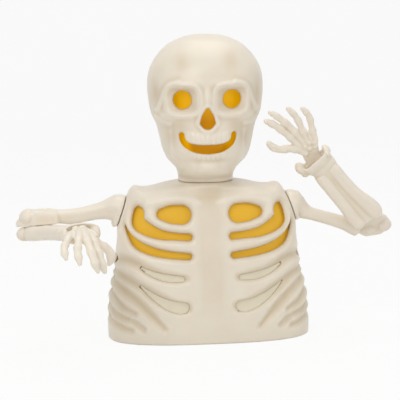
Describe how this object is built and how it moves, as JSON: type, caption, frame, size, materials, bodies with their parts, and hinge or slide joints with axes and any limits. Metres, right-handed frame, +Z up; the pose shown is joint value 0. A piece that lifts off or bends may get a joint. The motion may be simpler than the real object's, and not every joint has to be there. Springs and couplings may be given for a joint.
{
  "type": "halloween skeleton figure",
  "caption": "Light-up half-length skeleton tabletop figure: hollow ribcage torso on a flat base, turning skull, jointed arms, one hand waving and the other hanging from its wrist.",
  "frame": {"origin": "middle of the resting face, under the neck axis", "axes": "+Z up along the neck, the face looks along -Y, the figure's left hand is on +X"},
  "size_m": [0.4936, 0.2742, 0.394],
  "materials": {
    "ivory_shell": "satin",
    "arm_plastic": "satin",
    "amber_liner": "translucent satin",
    "pale_liner": "satin",
    "bushing": "natural",
    "circuit_board": "solder mask",
    "lamp": "clear epoxy",
    "screw_steel": "zinc plated",
    "cell_case": "plain sleeve",
    "switch_plastic": "moulded",
    "wire": "insulated"
  },
  "bodies": {
    "torso": {"torso_front": "ivory_shell", "torso_back": "ivory_shell", "base_plate": "ivory_shell", "base_screws": "screw_steel", "body_screws": "screw_steel", "chest_diffuser": "amber_liner", "belly_panel": "pale_liner", "chest_lamp_board": "circuit_board", "chest_lamps": "lamp", "board_screws": "screw_steel", "battery_box": "ivory_shell", "battery_contacts": "screw_steel", "battery_cells": "cell_case", "door_hinge_pin": "screw_steel", "switch_housing": "switch_plastic", "lamp_lead": "wire", "neck_bearing": "bushing", "left_shoulder_bush": "bushing", "right_shoulder_bush": "bushing"},
    "head": {"skull_face": "ivory_shell", "skull_back": "ivory_shell", "skull_screws": "screw_steel", "head_diffuser": "amber_liner", "head_lamp_board": "circuit_board", "head_lamps": "lamp", "neck_spigot": "bushing", "neck_retainer": "bushing", "neck_screws": "screw_steel"},
    "door": {"battery_door": "ivory_shell", "door_screw": "screw_steel"},
    "switch": {"switch_slider": "switch_plastic"},
    "left_arm": {"left_upper_arm": "arm_plastic", "left_shoulder_washer": "screw_steel", "left_shoulder_screw": "screw_steel"},
    "left_lower_arm": {"left_forearm": "arm_plastic", "left_elbow_washer": "screw_steel", "left_elbow_screw": "screw_steel", "left_wrist_pin": "screw_steel"},
    "left_palm": {"left_hand": "arm_plastic"},
    "right_arm": {"right_upper_arm": "arm_plastic", "right_shoulder_washer": "screw_steel", "right_shoulder_screw": "screw_steel"},
    "right_lower_arm": {"right_forearm": "arm_plastic", "right_elbow_washer": "screw_steel", "right_elbow_screw": "screw_steel", "right_wrist_pin": "screw_steel"},
    "right_palm": {"right_hand": "arm_plastic"}
  },
  "joints": [
    {"name": "neck_swivel", "type": "hinge", "parent": "torso", "child": "head", "pos_m": [0, 0, 0.2], "axis": [0, 0, 1], "range_deg": [-80, 80]},
    {"name": "left_shoulder", "type": "hinge", "parent": "torso", "child": "left_arm", "pos_m": [0.1097, 0, 0.165], "axis": [0.9461, 0, 0.3239], "range_deg": [0, 120]},
    {"name": "left_elbow", "type": "hinge", "parent": "left_arm", "child": "left_lower_arm", "pos_m": [0.208, -0.0115, 0.149], "axis": [0, 0.9781, 0.2079], "range_deg": [0, 110]},
    {"name": "left_wrist", "type": "hinge", "parent": "left_lower_arm", "child": "left_palm", "pos_m": [0.14043, -0.03725, 0.223], "axis": [0.7547, -0.1364, 0.6417], "range_deg": [-3, 50]},
    {"name": "right_shoulder", "type": "hinge", "parent": "torso", "child": "right_arm", "pos_m": [-0.1097, 0, 0.165], "axis": [-0.9461, 0, 0.3239], "range_deg": [-35, 70]},
    {"name": "right_elbow", "type": "hinge", "parent": "right_arm", "child": "right_lower_arm", "pos_m": [-0.217, -0.005, 0.151], "axis": [0.0557, -0.1065, -0.9928], "range_deg": [-10, 90]},
    {"name": "right_wrist", "type": "hinge", "parent": "right_lower_arm", "child": "right_palm", "pos_m": [-0.16908, -0.09666, 0.15365], "axis": [0.8862, 0.4633, 0], "range_deg": [-2, 56]},
    {"name": "battery_door_hinge", "type": "hinge", "parent": "torso", "child": "door", "pos_m": [0, 0.07145, 0.07985], "axis": [1, 0, 0], "range_deg": [0, 100]},
    {"name": "switch_slide", "type": "slide", "parent": "torso", "child": "switch", "axis": [1, 0, 0], "range_m": [0, 0.004]}
  ]
}
